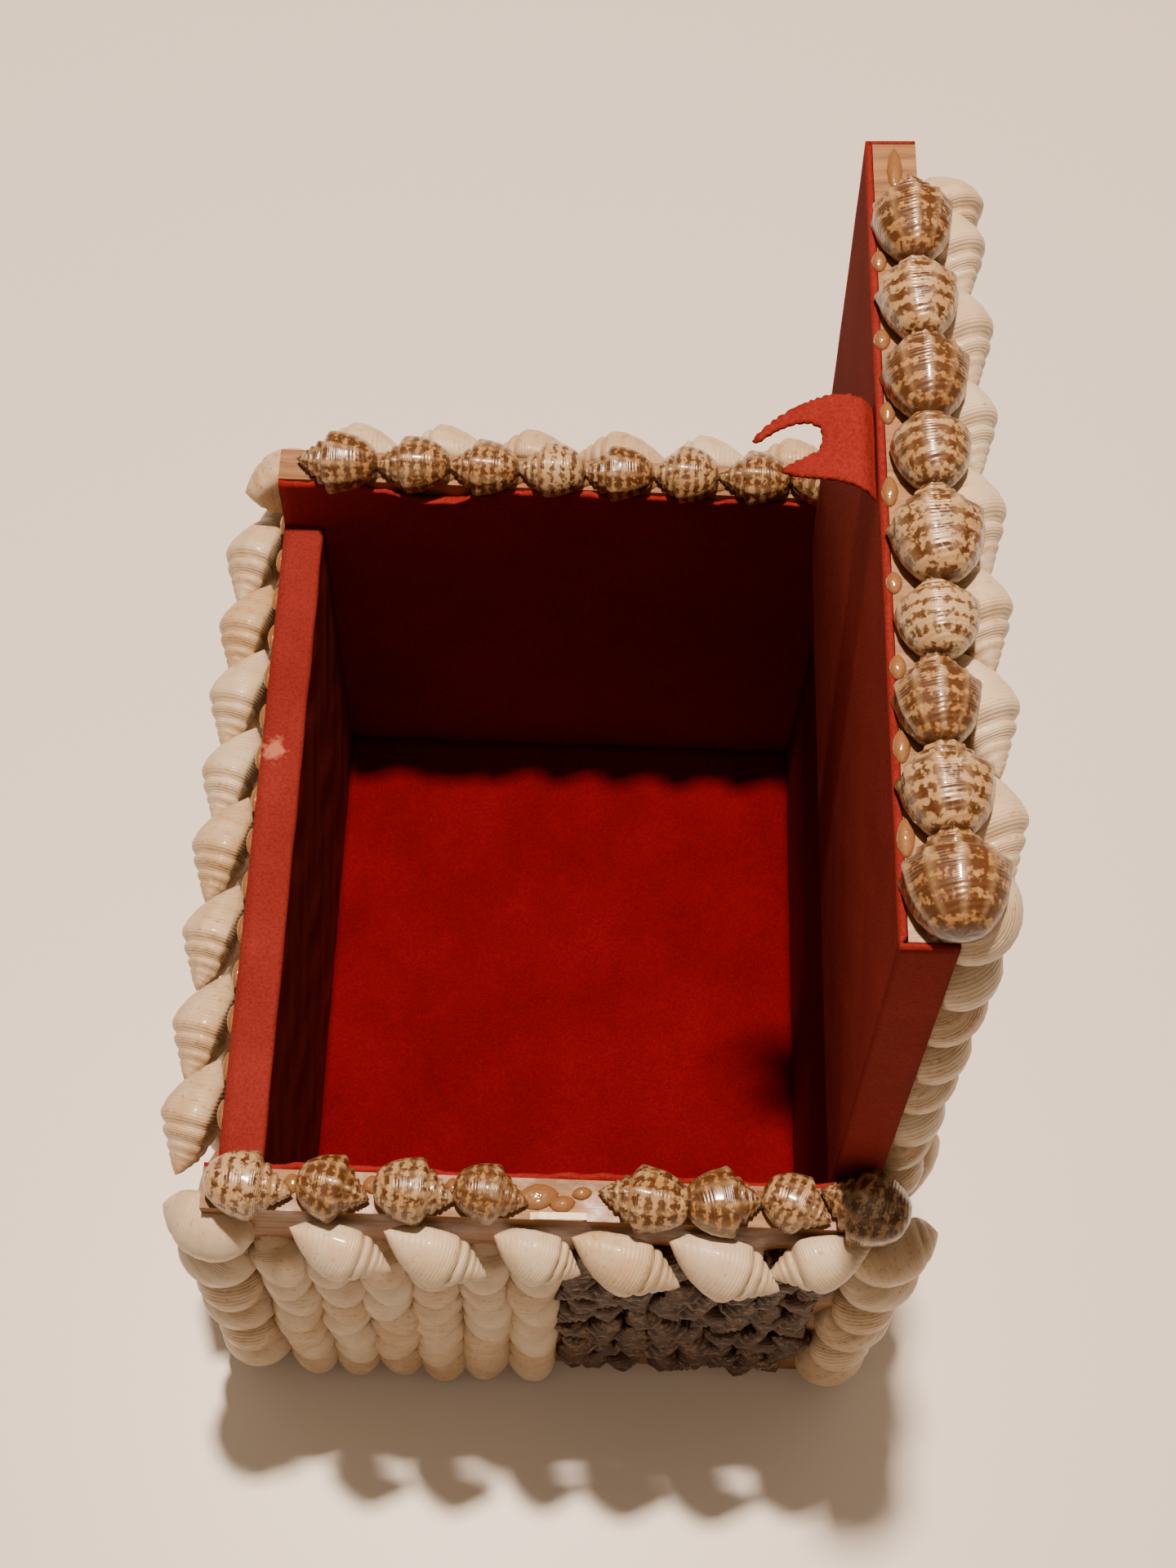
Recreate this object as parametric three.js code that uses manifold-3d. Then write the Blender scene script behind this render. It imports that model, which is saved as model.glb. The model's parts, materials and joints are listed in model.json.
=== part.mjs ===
// A hinged wooden keepsake box covered in sea shells and lined with red velvet, standing open.
// Millimetres, +Z up, -Y is the front. The origin is the centre of the underside of the bottom board.
import * as THREE from "three";
import { mergeVertices } from "three/addons/utils/BufferGeometryUtils.js";
import Module from "manifold-3d";

const wasm = await Module();
wasm.setup();

// Driving dimensions
const WIDTH = 110; // across the two end boards, in X
const INNER_DEPTH = 129; // between the two end linings, in Y
const INNER_HEIGHT = 84; // floor lining to the top of the left band
const END_RISE = 14; // how far the end boards stand above the left band
const CLOTH = 0.9; // velvet with its glue
const END_BOARD = 6.6; // front and back boards
const LEFT_BOARD = 6.6;
const RIGHT_BOARD = 4.0;
const BOTTOM_BOARD = 4.1;
const LID_LENGTH = 107.1; // from hinge end to free edge
const LID_BOARD = 6.3;
const LID_SIDE_GAP = 1.2; // between the lid and each end lining
const EDGE_CLOTH = 0.6; // velvet on the lid's two side edges
const LID_REST_GAP = 0.3; // between the closed lid and the left band
const OPEN_ANGLE = 87; // degrees from closed
const PIN_RADIUS = 0.8;
const PIN_LENGTH = 16;
const PIN_CLEARANCE = 0.35;
const GLUE = 0.6; // the glue bed under a field of shells
const TURNED_GAP = 0.1; // between the lid's pieces, which stand at an angle

// Derived places
const SIDE_X = WIDTH / 2;
const LINING_Y = INNER_DEPTH / 2;
const BOARD_Y = LINING_Y + CLOTH;
const FACE_Y = BOARD_Y + END_BOARD;
const FLOOR_Z = BOTTOM_BOARD + CLOTH;
const BAND_Z = FLOOR_Z + INNER_HEIGHT;
const RIM_Z = BAND_Z + END_RISE;
const LEFT_IN = -SIDE_X + LEFT_BOARD;
const RIGHT_IN = SIDE_X - RIGHT_BOARD;
const LID_HALF = (LID_BOARD + CLOTH) / 2;
const PIVOT_X = SIDE_X - LID_HALF - 2.9;
const PIVOT_Z = BAND_Z + LID_REST_GAP + LID_HALF;
const RIGHT_TOP = PIVOT_Z - 5.4;
const LID_FREE = LID_LENGTH - LID_HALF;
const LID_Y = LINING_Y - LID_SIDE_GAP;
const LID_BOARD_Y = LID_Y - EDGE_CLOTH;
const LID_FACE = LID_HALF + TURNED_GAP;
const LID_EDGE = LID_FREE + TURNED_GAP;

// Materials
const finish = (color, roughness) =>
  new THREE.MeshStandardMaterial({ color, roughness, metalness: 0 });
const WOOD = finish(0xc99a5e, 0.6);
const VELVET = finish(0xa01218, 0.95);
const STEEL = new THREE.MeshStandardMaterial({ color: 0x8f9094, roughness: 0.35, metalness: 1 });
const WHITE_SHELL = finish(0xe9dcc6, 0.45);
const BROWN_SHELL = finish(0xb98a55, 0.3);
const DARK_SHELL = finish(0x6b4a33, 0.55);
const GLUE_CLEAR = finish(0xd9b98a, 0.2);

// A repeatable spread of sizes, from 0 to 1
let seed = 17;
function spread() {
  seed = (seed * 16807) % 2147483647;
  return seed / 2147483647;
}
const vary = (amount) => 1 + amount * (2 * spread() - 1);

// Solids for booleans
function toSolid(geometry) {
  const bare = geometry.clone();
  bare.deleteAttribute("normal");
  bare.deleteAttribute("uv");
  const merged = mergeVertices(bare, 1e-4);
  return new wasm.Manifold(
    new wasm.Mesh({
      numProp: 3,
      vertProperties: merged.attributes.position.array,
      triVerts: new Uint32Array(merged.index.array),
    }),
  );
}

function toGeometry(solid) {
  const mesh = solid.getMesh();
  const geometry = new THREE.BufferGeometry();
  geometry.setAttribute("position", new THREE.BufferAttribute(mesh.vertProperties, 3));
  geometry.setIndex(new THREE.BufferAttribute(mesh.triVerts, 1));
  geometry.computeVertexNormals();
  return geometry;
}

function block(x0, x1, y0, y1, z0, z1) {
  const geometry = new THREE.BoxGeometry(x1 - x0, y1 - y0, z1 - z0);
  return geometry.translate((x0 + x1) / 2, (y0 + y1) / 2, (z0 + z1) / 2);
}
const blockSolid = (...sides) => toSolid(block(...sides));

const unionAll = (solids) => solids.reduce((whole, solid) => whole.add(solid));
const MERGE = 0.3; // facets closer than this are merged after the shells are joined

// A closed plate from an outline in X and Z, from y0 to y1
function plateXZ(outline, y0, y1) {
  const shape = new THREE.Shape(outline.map(([x, z]) => new THREE.Vector2(x, z)));
  const geometry = new THREE.ExtrudeGeometry(shape, { depth: y1 - y0, bevelEnabled: false });
  return geometry.rotateX(Math.PI / 2).translate(0, y1, 0);
}

// A prism along Y with eight sides, for a pin or its hole
function rodY(x, z, radius, y0, y1) {
  const points = [];
  for (let i = 0; i < 8; i += 1) {
    const turn = ((i + 0.5) * Math.PI) / 4;
    points.push([x + radius * Math.cos(turn), z + radius * Math.sin(turn)]);
  }
  return plateXZ(points, y0, y1);
}

// One spiral shell: a pointed spire at the tip, widest at two thirds, blunt at the butt.
// side flattens it towards the given direction, as a shell bedded in glue looks.
const WHELK = [[0.3, 0.5], [0.6, 1], [0.86, 0.74]];
function shell(tip, butt, radius, sides, rings) {
  const a = new THREE.Vector3(...tip);
  const b = new THREE.Vector3(...butt);
  const axis = b.clone().sub(a);
  const up = Math.abs(axis.clone().normalize().z) > 0.8 ? [0, 1, 0] : [0, 0, 1];
  const across = new THREE.Vector3(...up).cross(axis).normalize();
  const over = axis.clone().cross(across).normalize();
  const points = [a.toArray()];
  rings.forEach(([along, share]) => {
    for (let i = 0; i < sides; i += 1) {
      const turn = ((i + 0.5) * 2 * Math.PI) / sides;
      const point = a.clone().addScaledVector(axis, along);
      point.addScaledVector(across, radius * share * Math.cos(turn));
      point.addScaledVector(over, radius * share * Math.sin(turn));
      points.push(point.toArray());
    }
  });
  points.push(b.toArray());
  const faces = [];
  const last = points.length - 1;
  for (let i = 0; i < sides; i += 1) {
    const j = (i + 1) % sides;
    faces.push(0, 1 + j, 1 + i);
    for (let r = 0; r < rings.length - 1; r += 1) {
      const low = 1 + r * sides;
      const high = low + sides;
      faces.push(low + i, low + j, high + j);
      faces.push(low + i, high + j, high + i);
    }
    const end = 1 + (rings.length - 1) * sides;
    faces.push(end + i, end + j, last);
  }
  const geometry = new THREE.BufferGeometry();
  geometry.setAttribute("position", new THREE.BufferAttribute(new Float32Array(points.flat()), 3));
  geometry.setIndex(faces);
  return toSolid(geometry);
}

const root = new THREE.Group();
root.name = "shell_box";
const lid = new THREE.Group();
lid.name = "lid";
root.add(lid);

function place(group, name, geometry, material) {
  const mesh = new THREE.Mesh(geometry, material);
  mesh.name = name;
  group.add(mesh);
}

// Boards: the bottom and the two side boards stand between the end boards
place(root, "board_bottom", block(LEFT_IN, RIGHT_IN, -BOARD_Y, BOARD_Y, 0, BOTTOM_BOARD), WOOD);
place(root, "board_left", block(-SIDE_X, LEFT_IN, -BOARD_Y, BOARD_Y, 0, BAND_Z - CLOTH), WOOD);
place(root, "board_right", block(RIGHT_IN, SIDE_X, -BOARD_Y, BOARD_Y, 0, RIGHT_TOP - CLOTH), WOOD);
[["front", -1], ["back", 1]].forEach(([name, way]) => {
  const near = Math.min(way * BOARD_Y, way * FACE_Y);
  const far = near + END_BOARD;
  const hole = toSolid(rodY(PIVOT_X, PIVOT_Z, PIN_RADIUS, near - 1, far + 1));
  const board = blockSolid(-SIDE_X, SIDE_X, near, far, 0, RIM_Z).subtract(hole);
  place(root, "board_" + name, toGeometry(board), WOOD);
});

// Linings: the floor piece, the two end pieces, and the side pieces that turn over the board tops
const FLOOR = [LEFT_IN + CLOTH, RIGHT_IN - CLOTH, -LINING_Y, LINING_Y, BOTTOM_BOARD, FLOOR_Z];
place(root, "lining_floor", block(...FLOOR), VELVET);
const LEFT_LINING = [
  [LEFT_IN, BOTTOM_BOARD],
  [LEFT_IN + CLOTH, BOTTOM_BOARD],
  [LEFT_IN + CLOTH, BAND_Z],
  [-SIDE_X, BAND_Z],
  [-SIDE_X, BAND_Z - CLOTH],
  [LEFT_IN, BAND_Z - CLOTH],
];
place(root, "lining_left", plateXZ(LEFT_LINING, -LINING_Y, LINING_Y), VELVET);
const RIGHT_LINING = [
  [RIGHT_IN - CLOTH, BOTTOM_BOARD],
  [RIGHT_IN, BOTTOM_BOARD],
  [RIGHT_IN, RIGHT_TOP - CLOTH],
  [SIDE_X, RIGHT_TOP - CLOTH],
  [SIDE_X, RIGHT_TOP],
  [RIGHT_IN - CLOTH, RIGHT_TOP],
];
place(root, "lining_right", plateXZ(RIGHT_LINING, -LINING_Y, LINING_Y), VELVET);
const END_LINING = [
  [LEFT_IN, BOTTOM_BOARD],
  [RIGHT_IN, BOTTOM_BOARD],
  [RIGHT_IN, RIGHT_TOP - CLOTH],
  [SIDE_X, RIGHT_TOP - CLOTH],
  [SIDE_X, RIM_Z],
  [-SIDE_X, RIM_Z],
  [-SIDE_X, BAND_Z - CLOTH],
  [LEFT_IN, BAND_Z - CLOTH],
];
[["front", -1], ["back", 1]].forEach(([name, way]) => {
  const near = Math.min(way * LINING_Y, way * BOARD_Y);
  const hole = toSolid(rodY(PIVOT_X, PIVOT_Z, PIN_RADIUS, near - 1, near + CLOTH + 1));
  const sheet = toSolid(plateXZ(END_LINING, near, near + CLOTH)).subtract(hole);
  place(root, "lining_" + name, toGeometry(sheet), VELVET);
});

// Hinge pins: a nail driven through each end board into the lid's edge
[["front", -1], ["back", 1]].forEach(([name, way]) => {
  const outer = way * FACE_Y;
  const inner = way * (FACE_Y - PIN_LENGTH);
  const pin = rodY(PIVOT_X, PIVOT_Z, PIN_RADIUS, Math.min(outer, inner), Math.max(outer, inner));
  place(root, "hinge_pin_" + name, pin, STEEL);
});

// Rim shells: brown whelks laid end to end on the top edges of the end boards
const RIM_ROOM = block(-SIDE_X - 12, SIDE_X + 12, -FACE_Y - 12, FACE_Y + 12, RIM_Z, RIM_Z + 40);
const ABOVE_RIM = toSolid(RIM_ROOM);
function rimShell(name, x, y, length, radius, turn, tilt) {
  const reach = length / 2;
  const cos = Math.cos((turn * Math.PI) / 180);
  const sin = Math.sin((turn * Math.PI) / 180);
  const z = RIM_Z + radius * 0.72;
  const tip = [x + reach * cos, y + reach * sin, z - tilt];
  const butt = [x - reach * cos, y - reach * sin, z];
  const made = shell(tip, butt, radius, 6, WHELK).intersect(ABOVE_RIM);
  place(root, name, toGeometry(made), BROWN_SHELL);
}
const FRONT_RIM = [
  [-47.4, -68.9, 13.6, 6.2, -8, 1.5],
  [-34.3, -68.7, 12.2, 6.0, -14, 1.5],
  [-22.0, -69.0, 12.0, 5.8, -6, 1.5],
  [-10.4, -69.2, 11.0, 5.5, -10, 1.5],
  [14.4, -69.6, 13.6, 5.6, 170, 1.5],
  [27.5, -69.3, 12.2, 6.0, 6, 1.5],
  [38.6, -69.4, 10.2, 5.4, -24, 1.5],
  [49.5, -68.6, 12.4, 6.2, 158, 1.0],
];
FRONT_RIM.forEach((row, i) => rimShell("rim_shell_front_" + (i + 1), ...row));
const BACK_RIM = [
  [-44.2, 69.0, 14.0, 6.4, 172, 1.5],
  [-30.5, 69.1, 13.2, 6.2, -8, 1.5],
  [-17.4, 68.8, 12.8, 5.8, -10, 1.5],
  [-4.9, 69.2, 12.0, 6.0, -12, 1.5],
  [7.4, 68.7, 12.4, 5.6, -6, 1.5],
  [19.8, 69.0, 12.2, 6.0, 174, 1.5],
  [32.6, 68.8, 13.2, 5.7, -4, 1.5],
  [45.8, 68.8, 13.0, 5.9, -8, 1.5],
];
BACK_RIM.forEach((row, i) => rimShell("rim_shell_back_" + (i + 1), ...row));

// Where one shell is lost from the front rim, its glue and a split sliver of the edge are left
const BLOB = [[0.25, 0.8], [0.6, 1]];
const blob = shell([-2.9, -68.2, RIM_Z - 0.4], [-2.6, -68.2, RIM_Z + 1.1], 2.6, 8, BLOB);
place(root, "glue_blob", toGeometry(blob.intersect(ABOVE_RIM)), GLUE_CLEAR);
const SLIVER = [[-3.4, RIM_Z], [4.6, RIM_Z], [5.4, RIM_Z + 0.9], [-2.0, RIM_Z + 0.5]];
place(root, "rim_splinter", plateXZ(SLIVER, -FACE_Y, -FACE_Y + 1.1), WOOD);

// Fields of white shells: every wall is described by a corner, a direction along it and a way out of it
function wall(start, along, out) {
  const point = (a, z, depth) => [
    start[0] + along[0] * a + out[0] * depth,
    start[1] + along[1] * a + out[1] * depth,
    z,
  ];
  return { point };
}
const CORE = blockSolid(-SIDE_X, SIDE_X, -FACE_Y, FACE_Y, -1, RIM_Z + 60);
const FRONT_WALL = wall([-SIDE_X, -FACE_Y], [1, 0], [0, -1]);
const BACK_WALL = wall([SIDE_X, FACE_Y], [-1, 0], [0, 1]);
const LEFT_WALL = wall([-SIDE_X, FACE_Y], [0, -1], [-1, 0]);
const RIGHT_WALL = wall([SIDE_X, -FACE_Y], [0, 1], [1, 0]);
const FOOT_Z = 5; // the lowest shells end this far above the table

// Columns of small shells lying over one another like roof tiles, as one faceted sheet with a flat back.
// point(a, t, depth) gives a place across the columns, along them, and out of the surface.
const ACROSS = [0, 0.78, 1, 0.78];
function shingles(name, point, [from, to, count], [top, bottom, tiers], reach, material) {
  const pitch = (to - from) / count;
  const drop = (top - bottom) / tiers;
  const wide = count * ACROSS.length;
  const tall = tiers * 2;
  const sizes = Array.from({ length: count * tiers }, () => vary(0.12));
  const points = [];
  for (let r = 0; r <= tall; r += 1) {
    const lip = r % 2 === 1;
    const tier = Math.min(Math.floor(r / 2), tiers - 1);
    for (let c = 0; c <= wide; c += 1) {
      const round = ACROSS[c % ACROSS.length];
      const edge = r === 0 || r === tall || c === 0 || c === wide;
      const column = Math.min(Math.floor(c / ACROSS.length), count - 1);
      const height = reach * sizes[tier * count + column] * round * (lip ? 1 : 0.4);
      const slip = lip ? drop * (0.42 + 0.16 * round) : 0;
      const along = top - drop * (r - (lip ? 1 : 0)) * 0.5 - slip;
      points.push(point(from + (pitch * c) / ACROSS.length, along, edge ? 0 : GLUE + height));
    }
  }
  points.push(point((from + to) / 2, (top + bottom) / 2, 0));
  const at = (r, c) => r * (wide + 1) + c;
  const faces = [];
  for (let r = 0; r < tall; r += 1) {
    for (let c = 0; c < wide; c += 1) {
      faces.push([at(r, c), at(r + 1, c), at(r + 1, c + 1)]);
      faces.push([at(r, c), at(r + 1, c + 1), at(r, c + 1)]);
    }
  }
  const middle = points.length - 1;
  for (let c = 0; c < wide; c += 1) {
    faces.push([middle, at(0, c), at(0, c + 1)]);
    faces.push([middle, at(tall, c + 1), at(tall, c)]);
  }
  for (let r = 0; r < tall; r += 1) {
    faces.push([middle, at(r + 1, 0), at(r, 0)]);
    faces.push([middle, at(r, wide), at(r + 1, wide)]);
  }
  const [start, across, down, lift] = [[0, 0, 0], [1, 0, 0], [0, -1, 0], [0, 0, 1]].map(
    (place) => new THREE.Vector3(...point(...place)),
  );
  const normal = down.sub(start).cross(across.sub(start));
  const outward = normal.dot(lift.sub(start)) > 0;
  const turned = faces.map(([i, j, k]) => (outward ? [i, j, k] : [i, k, j]));
  const geometry = new THREE.BufferGeometry();
  geometry.setAttribute("position", new THREE.BufferAttribute(new Float32Array(points.flat()), 3));
  geometry.setIndex(turned.flat());
  geometry.computeVertexNormals();
  return { name, geometry, material };
}

// A row of larger shells lying along the wall, each tip lifted over the next
function topRow(face, places, z, slope, length, radius, lift) {
  return places.map((a) => {
    const size = vary(0.05);
    const tip = face.point(a + (length / 2) * size, z - slope, lift);
    const butt = face.point(a - (length / 2) * size, z + slope, radius * 0.45);
    return shell(tip, butt, radius * size, 6, WHELK);
  });
}

function bed(face, from, to, z0, z1) {
  const a = face.point(from, z0, 0);
  const b = face.point(to, z1, GLUE);
  const low = a.map((value, i) => Math.min(value, b[i]));
  const high = a.map((value, i) => Math.max(value, b[i]));
  return blockSolid(low[0], high[0], low[1], high[1], low[2], high[2]);
}

const taken = [CORE];
function field(name, solids, material) {
  const joined = unionAll(solids).simplify(MERGE);
  const whole = taken.reduce((rest, other) => rest.subtract(other), joined);
  const pieces = whole.decompose().sort((a, b) => b.volume() - a.volume());
  taken.push(pieces[0]);
  place(root, name, toGeometry(pieces[0]), material);
}

// Corner columns: big smooth shells stacked one on another up each corner
function cornerColumn(name, x, y, top, count) {
  const stepZ = (top - FOOT_Z) / count;
  const made = [];
  for (let i = 0; i < count; i += 1) {
    const z = FOOT_Z + stepZ * i;
    const size = 7.8 * vary(0.05);
    made.push(shell([x, y, z], [x, y, z + stepZ * 1.35], size, 6, [[0.3, 0.85], [0.62, 1]]));
  }
  field(name, made, WHITE_SHELL);
}
cornerColumn("corner_shells_front_left", -SIDE_X - 1, -FACE_Y - 1, RIM_Z - 5, 6);
cornerColumn("corner_shells_front_right", SIDE_X + 1, -FACE_Y - 1, RIM_Z - 6, 6);
cornerColumn("corner_shells_back_left", -SIDE_X - 1, FACE_Y + 1, RIM_Z - 5, 6);
cornerColumn("corner_shells_back_right", SIDE_X + 1, FACE_Y + 1, RIM_Z - 6, 6);

function wallField(name, face, acrossRange, downRange, reach, material) {
  const made = shingles(name, face.point, acrossRange, downRange, reach, material);
  place(root, name, made.geometry, made.material);
}

// Front wall: six large shells along the top, white columns on the left, a dark patch on the right
const FRONT_TOP = [21.5, 37, 52.5, 66.5, 81.5];
const frontTop = topRow(FRONT_WALL, FRONT_TOP, RIM_Z - 7.4, 2, 18.5, 6.4, 4.2);
const turnedTip = FRONT_WALL.point(87, RIM_Z - 10, 5);
const turnedButt = FRONT_WALL.point(101, RIM_Z - 6, 3);
frontTop.push(shell(turnedTip, turnedButt, 5.6, 6, WHELK));
frontTop.push(bed(FRONT_WALL, 8, 101, RIM_Z - 14.5, RIM_Z - 1.5));
field("front_top_shells", frontTop, WHITE_SHELL);
const LOW_TOP = RIM_Z - 15;
wallField("front_white_shells", FRONT_WALL, [6.6, 57, 6], [LOW_TOP, FOOT_Z, 6], 4.4, WHITE_SHELL);
wallField("front_dark_shells", FRONT_WALL, [57, 103, 5], [LOW_TOP, FOOT_Z, 6], 3.4, DARK_SHELL);

// Left wall
const LEFT_TOP = [9.5, 25.8, 42, 58, 74.5, 91, 107.5, 123.5].map((a) => a + 1.2);
const leftTop = topRow(LEFT_WALL, LEFT_TOP, BAND_Z - 8.8, 3.2, 18.8, 6.8, 6.4);
leftTop.push(bed(LEFT_WALL, 8, 136, BAND_Z - 15.8, BAND_Z - 2));
field("left_top_shells", leftTop, WHITE_SHELL);
wallField("left_shells", LEFT_WALL, [7.3, 136.7, 9], [BAND_Z - 16.4, FOOT_Z, 5], 5, WHITE_SHELL);

// Right wall: its top row is the stop that the open lid's lowest shells come down on
const RIGHT_ROW = [20, 36.2, 52.4, 68.6, 84.8, 101, 117.2];
const rightTop = topRow(RIGHT_WALL, RIGHT_ROW, PIVOT_Z - 8.6, 0, 19, 6.6, 3.6);
rightTop.push(bed(RIGHT_WALL, 8, 136, PIVOT_Z - 15, RIGHT_TOP - 2));
field("right_top_shells", rightTop, WHITE_SHELL);
wallField("right_shells", RIGHT_WALL, [7.3, 136.7, 9], [PIVOT_Z - 15.6, FOOT_Z, 5], 5, WHITE_SHELL);

// Back wall
const BACK_ROW = [14, 30.4, 46.8, 63.2, 79.6, 96];
const backTop = topRow(BACK_WALL, BACK_ROW, RIM_Z - 7.4, 2, 18, 6.4, 4.2);
backTop.push(bed(BACK_WALL, 8, 102, RIM_Z - 14.5, RIM_Z - 1.5));
field("back_top_shells", backTop, WHITE_SHELL);
wallField("back_shells", BACK_WALL, [6.6, 103.4, 7], [LOW_TOP, FOOT_Z, 5], 5, WHITE_SHELL);

// The lid is drawn closed, as its own group about the hinge line, and the group is turned open.
// In it -X runs from the hinge to the free edge and +Z is the shelled outer side.
const LID_HOLES = [-1, 1].map((way) => {
  const y0 = Math.min(way * (FACE_Y - PIN_LENGTH - 1), way * (LID_Y + 1));
  const y1 = Math.max(way * (FACE_Y - PIN_LENGTH - 1), way * (LID_Y + 1));
  return toSolid(rodY(0, 0, PIN_RADIUS + PIN_CLEARANCE, y0, y1));
});
const drill = (solid) => LID_HOLES.reduce((rest, hole) => rest.subtract(hole), solid);
const UNDER = -LID_HALF + CLOTH + TURNED_GAP;
const PANEL_Y = LID_BOARD_Y - TURNED_GAP;
const panel = blockSolid(-LID_FREE, LID_HALF, -PANEL_Y, PANEL_Y, UNDER, LID_HALF);
place(lid, "lid_board", toGeometry(drill(panel)), WOOD);
const wrap = blockSolid(-LID_FREE, LID_HALF, -LID_Y, LID_Y, -LID_HALF, LID_HALF);
const hollow = blockSolid(-200, 200, -LID_BOARD_Y, LID_BOARD_Y, -LID_HALF + CLOTH, 20);
place(lid, "lid_lining", toGeometry(drill(wrap.subtract(hollow))), VELVET);

// The torn tab of lining that stands out from the lid's free edge
const TAB = [
  [-3.8, 19.6], [-11, 20.1], [-17, 17.3], [-20.2, 14.3], [-15.6, 15.6], [-10.8, 15],
  [-11.2, 11.2], [-16.4, 8.6], [-14.5, 7], [-9, 6.2], [-3.8, 3.6],
];
const tabShape = new THREE.Shape(TAB.map(([n, y]) => new THREE.Vector2(n, y)));
const tab = new THREE.ExtrudeGeometry(tabShape, { depth: 0.8, bevelEnabled: false });
tab.rotateY(-Math.PI / 2).translate(-LID_FREE + 3, 0, 0);
place(lid, "lid_torn_lining", tab, VELVET);

// Brown whelks on the free edge, tips towards the back, one of them lost at the back end
const FREE_ROOM = toSolid(block(-LID_EDGE - 30, -LID_EDGE, -LID_Y - 5, LID_Y + 5, -20, 40));
const LID_EDGE_SHELLS = [
  [47.7, 13.4, 6.0, 1.4],
  [33.9, 13.9, 6.2, 1.2],
  [20.6, 12.3, 5.9, 2.2],
  [8.3, 11.8, 5.7, 2.6],
  [-4.9, 14.2, 6.0, 2.6],
  [-18.4, 12.4, 5.7, 1.2],
  [-30.5, 11.4, 6.0, 0.8],
  [-42.3, 11.8, 5.8, 1.4],
  [-55.4, 14.0, 6.4, 1.8],
];
LID_EDGE_SHELLS.forEach(([y, length, radius, n], i) => {
  const x = -LID_EDGE - radius * 0.6;
  const made = shell([x, y + length / 2, n], [x, y - length / 2, n], radius, 6, WHELK);
  place(lid, "lid_edge_shell_" + (i + 1), toGeometry(made.intersect(FREE_ROOM)), BROWN_SHELL);
});

// White shells on the lid's outer side: a row of large ones along the free edge, smaller ones below
const LID_ROOM = blockSolid(-LID_FREE - 6, 0, -62.2, 62.2, LID_FACE, LID_FACE + 9);
const lidTop = [blockSolid(-LID_FREE + 0.5, -LID_FREE + 17, -61.8, 61.8, LID_FACE, LID_FACE + GLUE)];
for (let i = 0; i < 9; i += 1) {
  const y = 54.4 - 13.6 * i;
  const butt = [-LID_FREE + 1.4, y + 1.5, LID_FACE + 3];
  const tip = [-LID_FREE + 17.6, y - 2.5, LID_FACE + 4.6];
  lidTop.push(shell(tip, butt, 6.3 * vary(0.05), 6, WHELK));
}
place(lid, "lid_top_shells", toGeometry(unionAll(lidTop).intersect(LID_ROOM)), WHITE_SHELL);
const lidPoint = (a, t, depth) => [-t, a, LID_FACE + depth];
const LID_DOWN = [LID_FREE - 18, 1.5, 6];
const lidLow = shingles("lid_shells", lidPoint, [-61.8, 61.8, 9], LID_DOWN, 7.2, WHITE_SHELL);
place(lid, lidLow.name, lidLow.geometry, lidLow.material);

lid.position.set(PIVOT_X, 0, PIVOT_Z);
lid.rotation.y = (OPEN_ANGLE * Math.PI) / 180;

export default root;
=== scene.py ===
import json
import math
import random

import bmesh
import bpy
import numpy as np
from mathutils import Matrix, Vector


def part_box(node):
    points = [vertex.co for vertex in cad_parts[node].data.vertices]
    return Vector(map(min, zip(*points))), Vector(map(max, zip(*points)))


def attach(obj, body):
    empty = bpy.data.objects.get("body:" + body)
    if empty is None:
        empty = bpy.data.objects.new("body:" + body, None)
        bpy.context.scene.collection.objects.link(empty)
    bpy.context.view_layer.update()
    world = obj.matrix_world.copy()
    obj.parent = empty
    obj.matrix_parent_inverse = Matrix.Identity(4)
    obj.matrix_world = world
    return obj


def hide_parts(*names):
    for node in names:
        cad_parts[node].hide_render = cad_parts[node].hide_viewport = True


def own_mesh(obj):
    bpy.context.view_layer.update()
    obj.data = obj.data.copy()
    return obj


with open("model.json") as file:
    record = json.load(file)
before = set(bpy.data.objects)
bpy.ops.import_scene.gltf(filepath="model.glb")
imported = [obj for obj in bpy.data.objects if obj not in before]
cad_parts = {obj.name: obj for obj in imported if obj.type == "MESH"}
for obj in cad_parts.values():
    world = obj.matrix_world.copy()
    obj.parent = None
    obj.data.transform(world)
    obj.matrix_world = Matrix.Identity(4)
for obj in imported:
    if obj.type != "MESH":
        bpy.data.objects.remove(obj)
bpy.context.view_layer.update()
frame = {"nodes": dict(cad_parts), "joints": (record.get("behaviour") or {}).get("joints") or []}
mm = 0.001

# Camera: held above the box and a little in front of it, looking steeply down into the open inside.
# It is turned a degree or two from square, as if held by hand.
camera_place = Vector((-2.7, -162.0, 428.7)) * mm
camera_yaw = math.radians(0.84)
camera_down = math.radians(63.6)
camera_roll = math.radians(2.86)
ahead = Vector(
    (
        math.sin(camera_yaw) * math.cos(camera_down),
        math.cos(camera_yaw) * math.cos(camera_down),
        -math.sin(camera_down),
    )
)
level = Vector((math.cos(camera_yaw), -math.sin(camera_yaw), 0))
upward = level.cross(ahead)
side = math.cos(camera_roll) * level + math.sin(camera_roll) * upward
top = math.cos(camera_roll) * upward - math.sin(camera_roll) * level
camera_data = bpy.data.cameras.new("camera")
camera_data.sensor_width = 36
camera_data.lens = 48.87
camera_data.shift_x = 0.0156
camera_data.shift_y = 0.0156
camera_data.clip_start = 0.01
camera = bpy.data.objects.new("camera", camera_data)
bpy.context.scene.collection.objects.link(camera)
camera.matrix_world = Matrix(
    (
        (side.x, top.x, -ahead.x, camera_place.x),
        (side.y, top.y, -ahead.y, camera_place.y),
        (side.z, top.z, -ahead.z, camera_place.z),
        (0, 0, 0, 1),
    )
)
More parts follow.
